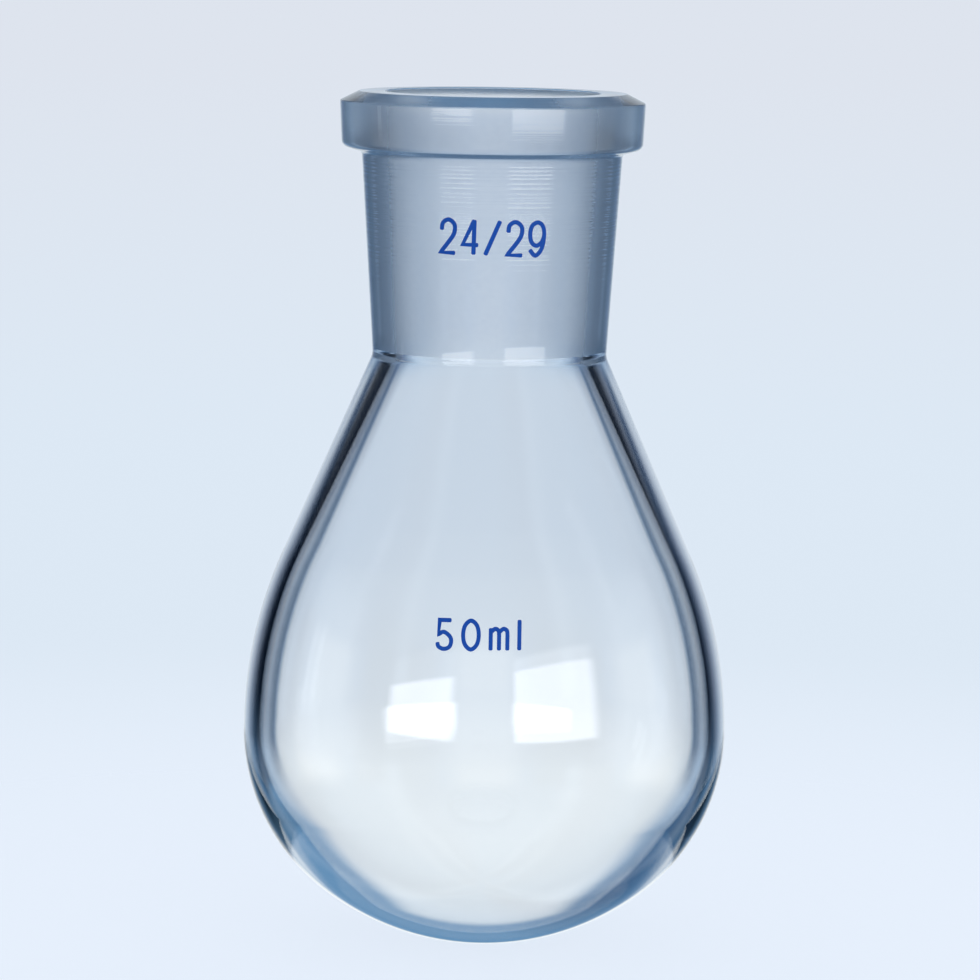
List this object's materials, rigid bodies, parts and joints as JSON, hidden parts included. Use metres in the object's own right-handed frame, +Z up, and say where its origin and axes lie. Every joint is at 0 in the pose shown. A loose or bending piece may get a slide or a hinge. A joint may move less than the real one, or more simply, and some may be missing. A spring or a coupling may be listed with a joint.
{
  "type": "round-bottom flask",
  "caption": "Pear-shaped round-bottom glass flask with a ground taper socket and a thick collar at its mouth.",
  "frame": {"origin": "the lowest point of the round bottom, on the axis", "axes": "+Z up along the axis of the bulb and socket, out of the mouth; +X and +Y are any two directions square to it"},
  "size_m": [0.0544, 0.0544, 0.0962],
  "materials": {
    "glass": "clear and fire polished, with the inside of the socket ground to an even frost",
    "print": "thin blue enamel fired on the outside"
  },
  "bodies": {
    "root": {"flask": "glass"}
  },
  "joints": []
}
